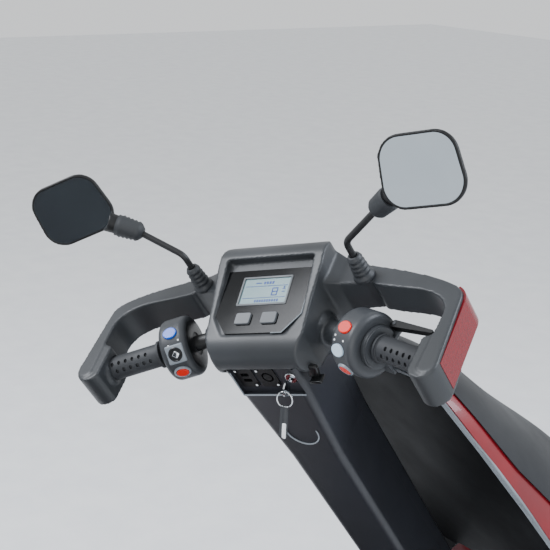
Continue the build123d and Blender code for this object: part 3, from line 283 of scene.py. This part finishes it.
finishes["lcd_glass"] = lcd_glass()
finishes["mirror_silver"] = mirror_silver()
# the reflectors' faint glow is painted: they give no light of their own
finishes["reflector_red"] = prismatic_red("reflector_red", "#5e0010", "#860016", 2.2, 0.02)
finishes["lamp_red"] = prismatic_red("lamp_red", "#8a0d18", "#c8202c", 3.0, 0.1)
finishes["lamp_clear"] = prismatic_red("lamp_clear", "#c9d0d6", "#eef2f5", 5.0, 0.05)
finishes["seat_vinyl"] = seat_vinyl()

# Each CAD slot's finish, and the few nodes whose finish is their own
slot_finish = {
    "frame_paint": "powder_coat", "black_plastic": "black_abs", "charcoal_plastic": "charcoal_abs",
    "mat_rubber": "mat_rubber", "red_body": "red_lacquer", "lamp_lens": "lamp_clear", "red_lens": "lamp_red",
    "transaxle_alloy": "cast_alloy", "tyre": "tyre_rubber", "rim_silver": "rim_paint",
    "bezel_black": "bezel_acrylic", "lcd": "lcd_glass", "lock_chrome": "chrome", "key_tag": "strap_leather",
    "button_grey": "button_rubber", "button_blue": "blue_button", "button_red": "red_button",
    "button_pale": "pale_button", "lever_alloy": "lever_alloy", "mirror_glass": "mirror_silver",
    "seat_vinyl": "seat_vinyl",
}
node_finish = {
    "column_rear_cover": "column_abs", "column_front_cover": "column_abs", "hood_panel": "hood_abs",
    "guard_reflectors": "reflector_red", "grip_left": "grip_rubber", "grip_right": "grip_rubber",
    "battery_pack": "battery_abs", "mirror_base_boots": "boot_rubber", "leg_shield": "shield_abs",
    "pod_left": "pod_abs", "pod_right": "pod_abs", "tiller_column": "powder_coat",
}
for name, node in nodes.items():
    first = node.data.materials[0].name if node.data.materials and node.data.materials[0] else "black_plastic"
    finish_name = node_finish.get(name, slot_finish.get(first.split(".")[0], "black_abs"))
    if not node.data.materials:
        node.data.materials.append(None)
    for index in range(len(node.data.materials)):
        node.data.materials[index] = finishes[finish_name]


# ---- making pieces ------------------------------------------------------------------------
def keep(name, bm, body, finish_name, frame_matrix=None, smooth=40):
    """Turn a bmesh into a finished piece that rides on a body.

    Edges sharper than smooth, in degrees, stay sharp; with 0 none do."""
    if frame_matrix is not None:
        bmesh.ops.transform(bm, matrix=frame_matrix, verts=bm.verts)
    mesh = bpy.data.meshes.new(name)
    bm.to_mesh(mesh)
    bm.free()
    mesh.materials.append(finishes[finish_name])
    piece = bpy.data.objects.new(name, mesh)
    bpy.context.scene.collection.objects.link(piece)
    mesh.shade_smooth()
    if smooth:
        mesh.set_sharp_from_angle(angle=math.radians(smooth))
    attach(piece, body)
    return piece


def copy_of(*names):
    """One merged mesh of the CAD nodes named."""
    bm = bmesh.new()
    for name in names:
        bm.from_mesh(nodes[name].data)
    bmesh.ops.remove_doubles(bm, verts=bm.verts, dist=0.01 * mm)
    return bm


def add_mesh(bm, lump):
    """Add a bmesh to another, and free it."""
    mesh = bpy.data.meshes.new("lump")
    lump.to_mesh(mesh)
    lump.free()
    bm.from_mesh(mesh)
    bpy.data.meshes.remove(mesh)


def remeshed(bm, voxel, rounds):
    """Close a mesh over with an even skin, and ease its edges. The voxel size is in millimetres."""
    mesh = bpy.data.meshes.new("rough")
    bm.to_mesh(mesh)
    bm.free()
    rough = bpy.data.objects.new("rough", mesh)
    bpy.context.scene.collection.objects.link(rough)
    skin = rough.modifiers.new("skin", "REMESH")
    skin.mode, skin.voxel_size = "VOXEL", voxel * mm
    ease = rough.modifiers.new("ease", "SMOOTH")
    ease.factor, ease.iterations = 0.5, rounds
    bpy.context.view_layer.update()
    done = bmesh.new()
    done.from_mesh(rough.evaluated_get(bpy.context.evaluated_depsgraph_get()).to_mesh())
    bpy.data.objects.remove(rough)
    bpy.data.meshes.remove(mesh)
    return done


def turned(bm, profile, steps=32):
    """Spin a profile of (radius, height) points, in millimetres, into a closed turning about Z."""
    verts = [bm.verts.new((radius * mm, 0, height * mm)) for radius, height in profile]
    edges = [bm.edges.new(pair) for pair in zip(verts, verts[1:])]
    bmesh.ops.spin(bm, geom=verts + edges, cent=(0, 0, 0), axis=(0, 0, 1), dvec=(0, 0, 0),
                   angle=2 * math.pi, steps=steps, use_merge=True, use_duplicate=False)
    bmesh.ops.remove_doubles(bm, verts=bm.verts, dist=0.005 * mm)
    bmesh.ops.recalc_face_normals(bm, faces=bm.faces)
    return bm


def rounded_block(bm, size, round_edge, segments=3, matrix=None):
    """A block with every edge rounded. Sizes are in millimetres."""
    made = bmesh.ops.create_cube(bm, size=1, matrix=Matrix.Diagonal((*[s * mm for s in size], 1)))
    edges = {edge for vert in made["verts"] for edge in vert.link_edges}
    rounded = bmesh.ops.bevel(bm, geom=list(edges), offset=round_edge * mm, affect="EDGES", segments=segments,
                              profile=0.5, material=-1)
    if matrix is not None:
        verts = {vert for face in rounded["faces"] for vert in face.verts}
        bmesh.ops.transform(bm, matrix=matrix, verts=list(verts))
    return bm


def rod(bm, points, radius, sides=12):
    """A round rod along a line of places in millimetres, with closed ends."""
    places = [Vector(p) * mm for p in points]
    ring = None
    for index, place in enumerate(places):
        ahead = (places[min(index + 1, len(places) - 1)] - places[max(index - 1, 0)]).normalized()
        made = bmesh.ops.create_circle(bm, cap_ends=False, segments=sides, radius=radius * mm)["verts"]
        bmesh.ops.transform(bm, verts=made,
                            matrix=Matrix.Translation(place) @ ahead.to_track_quat("Z", "Y").to_matrix().to_4x4())
        edges = list({edge for vert in made for edge in vert.link_edges if edge.other_vert(vert) in made})
        if ring:
            bmesh.ops.bridge_loops(bm, edges=ring + edges)
        else:
            bmesh.ops.contextual_create(bm, geom=edges)
        ring = edges
    bmesh.ops.contextual_create(bm, geom=ring)
    bmesh.ops.recalc_face_normals(bm, faces=bm.faces)
    return bm


def frame_at(place, across, out):
    """A frame at a place, with X across and Z out."""
    out = Vector(out).normalized()
    side = out.cross(Vector(across)).normalized()
    return axes_at(place, side.cross(out), side, out)


# ---- tiller head: one moulding of console, knuckles and hand guards ------------------------------
bar_bend, bar_sweep, bar_rise = 68.0, math.radians(22.1), math.radians(2.2)
guard_low, guard_high = -10.0, 37.0


def bar_place(side, along, angle, out):
    """On the swept part of the bar. Angle goes from up towards the rider; X runs along the bar, Z out of it."""
    along_bar = Vector((side * math.cos(bar_sweep), -math.sin(bar_sweep), math.sin(bar_rise))).normalized()
    up = (Vector((0, 0, 1)) - along_bar * along_bar.z).normalized()
    back = along_bar.cross(up) * side
    outward = up * math.cos(math.radians(angle)) + back * math.sin(math.radians(angle))
    centre = Vector((side * bar_bend, 0, 0)) + along_bar * along
    return HEAD @ frame_at((centre + outward * out) * mm, along_bar, outward)


# the console's flank flares into the root of the guard, through these sections
flare_sections = (
    ((70, 22, -14), (70, 94, -14), (70, 22, 66), (70, 92, 70)),
    ((100, 38, -12), (100, 84, -12), (100, 38, 44), (100, 84, 46)),
    ((136, 44, guard_low), (136, 76, guard_low), (136, 44, guard_high), (136, 76, guard_high)),
)
# turnings on the bar: where along it, at what angle and how far out, and the profile
knuckle = (2, 100, 9, ((0, -26), (24, -26), (31, -20), (33, -4), (31, 10), (22, 19), (0, 19)))
sleeve = (2, 0, 0, ((0, -10), (17, -10), (17, 44), (0, 44)))
grip_end = (0, 0, 0, ((0, 197), (21, 197), (25, 201), (26, 209), (24, 217), (0, 220)))
quarter_turn = math.pi / 2

head = copy_of("console_front", "console_rear", "guard_left", "guard_right")
for side in (-1, 1):
    last = []
    for section in flare_sections:
        flare = [head.verts.new(HEAD @ Vector((side * x * mm, y * mm, z * mm))) for x, y, z in section]
        if last:
            bmesh.ops.convex_hull(head, input=last + flare)
        last = flare
    for along, angle, out, profile in (knuckle, sleeve, grip_end):
        lump = turned(bmesh.new(), profile, 32)
        bmesh.ops.transform(lump, verts=lump.verts,
                            matrix=bar_place(side, along, angle, out) @ Matrix.Rotation(quarter_turn, 4, "Y"))
        add_mesh(head, lump)
head_moulding = keep("head_moulding", remeshed(head, 2.0, 4), "tiller", "charcoal_abs", smooth=0)
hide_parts("console_front", "console_rear", "guard_left", "guard_right")

# ---- tyres: moulded tread blocks on a round carcass ----------------------------------------------


def tyre(name, node, body, axle, blocks, radius, width):
    """A tyre with a block tread. The axle is its direction; sizes are in millimetres."""
    lowest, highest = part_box(node)
    centre = (lowest + highest) / 2
    bm = bmesh.new()
    half, tread = width / 2, 4.0
    crown = radius - tread
    profile = ((radius * 0.68, -half + 9), (radius * 0.72, -half + 2), (radius * 0.8, -half), (crown - 13, -half + 1),
               (crown - 6, -half + 7), (crown - 1.5, -half * 0.5), (crown, -half * 0.16), (crown, half * 0.16),
               (crown - 1.5, half * 0.5), (crown - 6, half - 7), (crown - 13, half - 1), (radius * 0.8, half),
               (radius * 0.72, half - 2), (radius * 0.68, half - 9), (radius * 0.68, -half + 9))
    turned(bm, profile, blocks)
    bm.faces.ensure_lookup_table()
    raised = []
    for face in bm.faces:
        place = face.calc_center_median()
        band = abs(place.z) / (half * mm)
        if math.hypot(place.x, place.y) > (crown - 8) * mm:
            step = round(math.atan2(place.y, place.x) / (2 * math.pi) * blocks - 0.5)
            if band < 0.1 or (step + (0.1 < band < 0.45) + (place.z > 0)) % 2:
                raised.append(face)
    bmesh.ops.inset_individual(bm, faces=raised, thickness=0.9 * mm, depth=0)
    for face in raised:
        out = Vector((face.calc_center_median().x, face.calc_center_median().y, 0)).normalized()
        pulled = bmesh.ops.extrude_discrete_faces(bm, faces=[face])["faces"]
        bmesh.ops.translate(bm, verts=pulled[0].verts, vec=out * (tread - 0.4) * mm)
    ahead = Vector(axle).normalized()
    place = Matrix.Translation(centre) @ ahead.to_track_quat("Z", "Y").to_matrix().to_4x4()
    piece = keep(name, bm, body, "tyre_rubber", place, smooth=35)
    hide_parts(node)


for side in ("left", "right"):
    tyre(f"tread_tyre_{side}", f"rear_tyre_{side}", f"rear_wheel_{side}", (1, 0, 0), 56, 140, 82)
tyre("tread_tyre_front", "front_tyre", "front_wheel", joints["front_wheel_spin"]["axis"], 52, 125, 74)

# ---- cushions -------------------------------------------------------------------------------


def cut_level(bm, height, keep_high):
    """Cut a mesh level at a height, and keep one side of the cut, closed again."""
    bmesh.ops.bisect_plane(bm, geom=bm.verts[:] + bm.edges[:] + bm.faces[:], plane_co=(0, 0, height),
                           plane_no=(0, 0, 1), clear_outer=not keep_high, clear_inner=keep_high)
    bmesh.ops.holes_fill(bm, edges=[edge for edge in bm.edges if edge.is_boundary])
    return bm


slack = 4 * mm  # how far a pad may bulge past its solid's box
smooth_rounds = 10


def cushion(name, bm, body, shrink, voxel, cap, pressure, node):
    """A stuffed pad, blown up from a slightly smaller copy of its solid. Sizes are in millimetres."""
    lowest = Vector([min(v.co[i] for v in bm.verts) for i in range(3)])
    highest = Vector([max(v.co[i] for v in bm.verts) for i in range(3)])
    centre, size = (lowest + highest) / 2, highest - lowest
    scale = [max(0.2, 1 - 2 * shrink[i] * mm / size[i]) for i in range(3)]
    bmesh.ops.transform(bm, verts=bm.verts, matrix=Matrix.Translation(centre) @ Matrix.Diagonal((*scale, 1))
                        @ Matrix.Translation(-centre))
    core = remeshed(bm, voxel, 2)
    mesh = bpy.data.meshes.new(name)
    core.to_mesh(mesh)
    core.free()
    pad = bpy.data.objects.new(name, mesh)
    bpy.context.scene.collection.objects.link(pad)
    before = [v.co.copy() for v in mesh.vertices]
    cloth = pad.modifiers.new("cloth", "CLOTH")
    cloth.settings.use_pressure = True
    cloth.settings.uniform_pressure_force = pressure
    cloth.settings.effector_weights.gravity = 0
    cloth.settings.quality = 4
    cloth.settings.bending_stiffness = 8
    cloth.settings.tension_stiffness = cloth.settings.compression_stiffness = 30
    for number in range(1, 21):
        bpy.context.scene.frame_set(number)
    blown = pad.evaluated_get(bpy.context.evaluated_depsgraph_get()).to_mesh()
    after = [v.co.copy() for v in blown.vertices]
    pad.modifiers.clear()
    for vertex, old, new in zip(mesh.vertices, before, after):
        move = new - old
        if move.length > cap * mm:
            move *= cap * mm / move.length
        vertex.co = old + move
    bpy.context.scene.frame_set(1)
    for vertex in mesh.vertices:
        vertex.co = Vector([min(max(vertex.co[i], lowest[i] - slack), highest[i] + slack) for i in range(3)])
    eased = bmesh.new()
    eased.from_mesh(mesh)
    for _ in range(smooth_rounds):
        bmesh.ops.smooth_vert(eased, verts=eased.verts, factor=0.5, use_axis_x=True, use_axis_y=True, use_axis_z=True)
    eased.to_mesh(mesh)
    eased.free()
    mesh.materials.append(finishes["seat_vinyl"])
    mesh.shade_smooth()
    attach(pad, body)
    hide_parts(node)


cushion("seat_pad", copy_of("seat_cushion"), "seat", (10, 10, 9), 6, 22, 3, "seat_cushion")
cushion("back_pad", copy_of("seat_backrest"), "backrest", (10, 9, 10), 6, 22, 3, "seat_backrest")
# the arms: a painted beam under a plate, with a stuffed pad on the plate
arm_pad_height = 25 * mm
for word in ("left", "right"):
    arm = f"armrest_{word}"
    pad_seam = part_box(arm)[1].z - arm_pad_height
    cushion(f"arm_pad_{word}", cut_level(copy_of(arm), pad_seam, True), f"arm_{word}", (3, 3, 2), 4, 6, 3, arm)
    beam = keep(f"arm_beam_{word}", cut_level(copy_of(arm), pad_seam, False), f"arm_{word}", "powder_coat",
                smooth=30)
    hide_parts(arm)

# ---- display ------------------------------------------------------------------------------
face_slope = math.radians(12.6)
FACE = HEAD @ frame_at(Vector((0, -3, 53)) * mm, (1, 0, 0), (0, -math.sin(face_slope), math.cos(face_slope)))
lcd_frame = bmesh.new()
for x, y, wide, high in ((0, -1.4, 80, 3), (0, 41.4, 80, 3), (-39.2, 20, 3, 44), (39.2, 20, 3, 44)):
    rounded_block(lcd_frame, (wide, high, 2.2), 0.8, 2, Matrix.Translation((x * mm, y * mm, 2.6 * mm)))
keep("lcd_frame", lcd_frame, "tiller", "button_rubber", FACE)
segments = bmesh.new()
marks = [(x, 33, 3, 4) for x in (-4, 0.5, 5, 9.5)] + [(-14, 33, 9, 1.4), (0, 28, 70, 0.7), (0, 9.5, 70, 0.7)]
marks += [(16, 24, 8, 1.6), (16, 18.5, 8, 1.6), (16, 13, 8, 1.6), (12, 21.5, 1.6, 6), (20, 21.5, 1.6, 6),
          (12, 15.5, 1.6, 6), (20, 15.5, 1.6, 6), (30, 22, 5, 1.2), (30, 18, 5, 1.2), (30, 25, 2, 3)]
marks += [(x, 4.5, 2.4, 4) for x in range(-12, 26, 4)]
for x, y, wide, high in marks:
    rounded_block(segments, (wide, high, 0.3), 0.1, 1, Matrix.Translation((x * mm, y * mm, 1.85 * mm)))
keep("lcd_segments", segments, "tiller", "segment_blue", FACE)
# a painted highlight: a light grey rod along the bezel's edge, where light catches it
keep("bezel_highlight_line", rod(bmesh.new(), ((30, -46.6, 2.8), (46.4, -46.6, 2.8), (70.2, -18.4, 2.8), (70.2, 12, 2.8)), 0.8),
     "tiller", "trim_grey", FACE)

# ---- pocket, sockets, lock and key ------------------------------------------------------------
rider_face = -77.0
# painted highlights: light grey beads on the pocket's bottom lip and left wall, where light catches them
keep("pocket_lip_highlight", rod(bmesh.new(), ((-50.5, rider_face + 0.6, -3), (-50.5, rider_face + 0.4, -48.5),
                                     (50.5, rider_face + 0.4, -48.5)), 1.3),
     "tiller", "trim_grey", HEAD)
# a painted highlight: a light grey crescent on the lower half of the oval's rim only
oval = [(4 + 25.5 * math.cos(math.radians(turn)), rider_face + 0.3, -128 + 27.5 * math.sin(math.radians(turn)))
        for turn in range(175, 366, 10)]
keep("oval_rim_highlight", rod(bmesh.new(), oval, 1.2), "tiller", "trim_grey", HEAD)
pins = bmesh.new()
for x, z in ((2, -14), (-1.6, -20), (5.6, -20)):
    pin = turned(bmesh.new(), ((0, 0), (1.3, 0), (1.3, 3), (0, 3.6)), 10)
    bmesh.ops.transform(pin, verts=pin.verts, matrix=Matrix.Translation((x * mm, -68 * mm, z * mm))
                        @ Matrix.Rotation(quarter_turn, 4, "X"))
    add_mesh(pins, pin)
keep("charger_pins", pins, "tiller", "chrome", HEAD)
screws = bmesh.new()
for x, z in ((-44, -4), (-22, -32), (-9, -4), (13, -32)):
    rounded_block(screws, (3.6, 1.8, 3.6), 0.8, 3, Matrix.Translation((x * mm, -72.6 * mm, z * mm)))
keep("socket_screws", screws, "tiller", "label_white", HEAD)

fob_low, fob_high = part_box("key_fob")
cut_height = fob_high.z - 22 * mm
for name, finish_name, keep_high in (("key_ring", "chrome", True), ("key_strap", "strap_leather", False)):
    half_fob = cut_level(copy_of("key_fob"), cut_height, keep_high)
    piece = keep(name, half_fob, "fob", finish_name)
    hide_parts("key_fob")
strap_tip = rounded_block(bmesh.new(), (9, 4, 22), 1.6, 3)
keep("key_tip", strap_tip, "fob", "label_white",
     Matrix.Translation(((fob_low.x + fob_high.x) / 2, (fob_low.y + fob_high.y) / 2, fob_low.z + 11 * mm)))

# ---- switch pods ------------------------------------------------------------------------------
pod_radius = 44.0
for side, word in ((-1, "left"), (1, "right")):
    dots = bmesh.new()
    for along, angle in ((76, 34), (76, 42), (92, 40)):
        dot = turned(bmesh.new(), ((0, 0.5), (1.4, 0.4), (1.5, -0.6)), 12)
        bmesh.ops.transform(dot, verts=dot.verts, matrix=bar_place(side, along, angle, pod_radius))
        add_mesh(dots, dot)
    keep(f"pod_marks_{word}", dots, "tiller", "label_white")
    stop_rim = turned(bmesh.new(), ((9.6, -3), (9.6, 1.6), (10.6, 2.3), (12.4, 1.2), (12.8, -3)), 32)
    bmesh.ops.scale(stop_rim, vec=(1, 0.84, 1), verts=stop_rim.verts)
    keep(f"stop_rim_{word}", stop_rim, "tiller", "switch_grey", bar_place(side, 87, 97, pod_radius))
    inner_face = turned(bmesh.new(), ((17, -0.2), (33, -0.2), (36, 0.8), (36, 2), (17, 2)), 40)
    keep(f"pod_face_{word}", inner_face, "tiller", "black_nylon",
         bar_place(side, 65, 0, 0) @ Matrix.Rotation(quarter_turn, 4, "Y"))
collar = turned(bmesh.new(), ((26, 0), (28.5, 0.8), (28.5, 6), (26, 7)), 40)
keep("pod_collar", collar, "tiller", "charcoal_abs",
     bar_place(1, 109, 0, 0) @ Matrix.Rotation(quarter_turn, 4, "Y"))
surround = rounded_block(bmesh.new(), (27, 27, 5), 2.2, 3)
switch_along, switch_angle = 85, 58
keep("switch_surround", surround, "tiller", "switch_grey",
     bar_place(-1, switch_along, switch_angle, 42.2))
recess = turned(bmesh.new(), ((0, 0), (8.6, 0), (9.4, 0.8), (10.4, 0), (10.6, -2)), 32)
keep("switch_recess", recess, "tiller", "black_nylon",
     bar_place(-1, switch_along, switch_angle, 45.2))
toggle = rounded_block(bmesh.new(), (8.5, 8.5, 5), 1.2, 3, Matrix.Rotation(math.radians(45), 4, "Z"))
toggle = keep("switch_toggle", toggle, "dip_switch", "chrome",
              bar_place(-1, switch_along - 2, switch_angle, 47.2))
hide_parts("dip_switch")
hook = rounded_block(bmesh.new(), (15, 7, 22), 2, 3, Matrix.Translation((74 * mm, -64 * mm, -14 * mm))
                     @ Matrix.Rotation(math.radians(14), 4, "Y"))
rounded_block(hook, (18, 15, 5), 1.6, 3, Matrix.Translation((76 * mm, -68 * mm, -26 * mm)))
keep("bag_hook", hook, "tiller", "black_nylon", HEAD)

# ---- mirrors ----------------------------------------------------------------------------------
for side, word in ((-1, "left"), (1, "right")):
    shell = keep(f"mirror_housing_{word}", remeshed(copy_of(f"mirror_shell_{word}"), 1.7, 5), f"mirror_{word}",
                 "black_abs", smooth=0)
    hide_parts(f"mirror_shell_{word}")
    ball = Vector(joints[f"mirror_tilt_{word}"]["pos_m"])
    glass_low, glass_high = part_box(f"mirror_glass_{word}")
    reach = (glass_low + glass_high) / 2 - ball
    ribs = [(0, -9), (7, -9), (12.5, -4)]
    for rib in range(5):
        ribs += [(14.6 + rib * 0.45, rib * 6), (13.2 + rib * 0.45, rib * 6 + 3)]
    boot = turned(bmesh.new(), ribs + [(15.5, 31), (0, 31)], 32)
    keep(f"mirror_boot_{word}", boot, f"mirror_{word}", "boot_rubber",
         frame_at(ball, (1, 0, 0), reach), smooth=60)
boots = keep("guard_boots", remeshed(copy_of("mirror_base_boots"), 1.2, 2), "tiller", "boot_rubber",
             smooth=0)
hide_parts("mirror_base_boots")

# ---- fairing trim -------------------------------------------------------------------------------
head_y, head_z = -8, 939
shift = head_centre / mm - Vector((0, head_y, head_z))
cowl_foot, cowl_rise, cowl_knee, cowl_behind_head = 268, 617, 430, 105
column_lean, foot_slope = math.tan(math.radians(35)), 0.3
# share of the fairing's height, and its half width there
cowl_levels = ((0.963, 163), (0.822, 200), (0.656, 236), (0.506, 262), (0.295, 264))


def cowl_rear(z):
    """Y of the fairing's rear edge at a height, both in millimetres, before the shift."""
    return (head_y + (head_z - max(z, cowl_knee)) * column_lean + cowl_behind_head
            - max(0, cowl_knee - z) * foot_slope)


for side, word in ((-1, "left"), (1, "right")):
    trim = bmesh.new()
    for inset in (3, 9, 15):
        route = []
        for share, half in cowl_levels:
            z = cowl_foot + share * cowl_rise
            route.append(Vector((side * (half - inset), cowl_rear(z) - 1, z)) + shift)
        rod(trim, route, 2.4, 10)
    keep(f"shield_trim_{word}", trim, "chassis", "trim_grey")

# ---- floor --------------------------------------------------------------------------------
floor_bm = bmesh.new()
bmesh.ops.create_grid(floor_bm, x_segments=4, y_segments=4, size=12)
floor_mesh = bpy.data.meshes.new("floor")
floor_bm.to_mesh(floor_mesh)
floor_bm.free()
floor = bpy.data.objects.new("floor", floor_mesh)
floor.data.materials.append(moulded("studio_paper", "#eef0f2", "#e8eaed", 4.0, 0.02, 0.8, 0.05))
bpy.context.scene.collection.objects.link(floor)
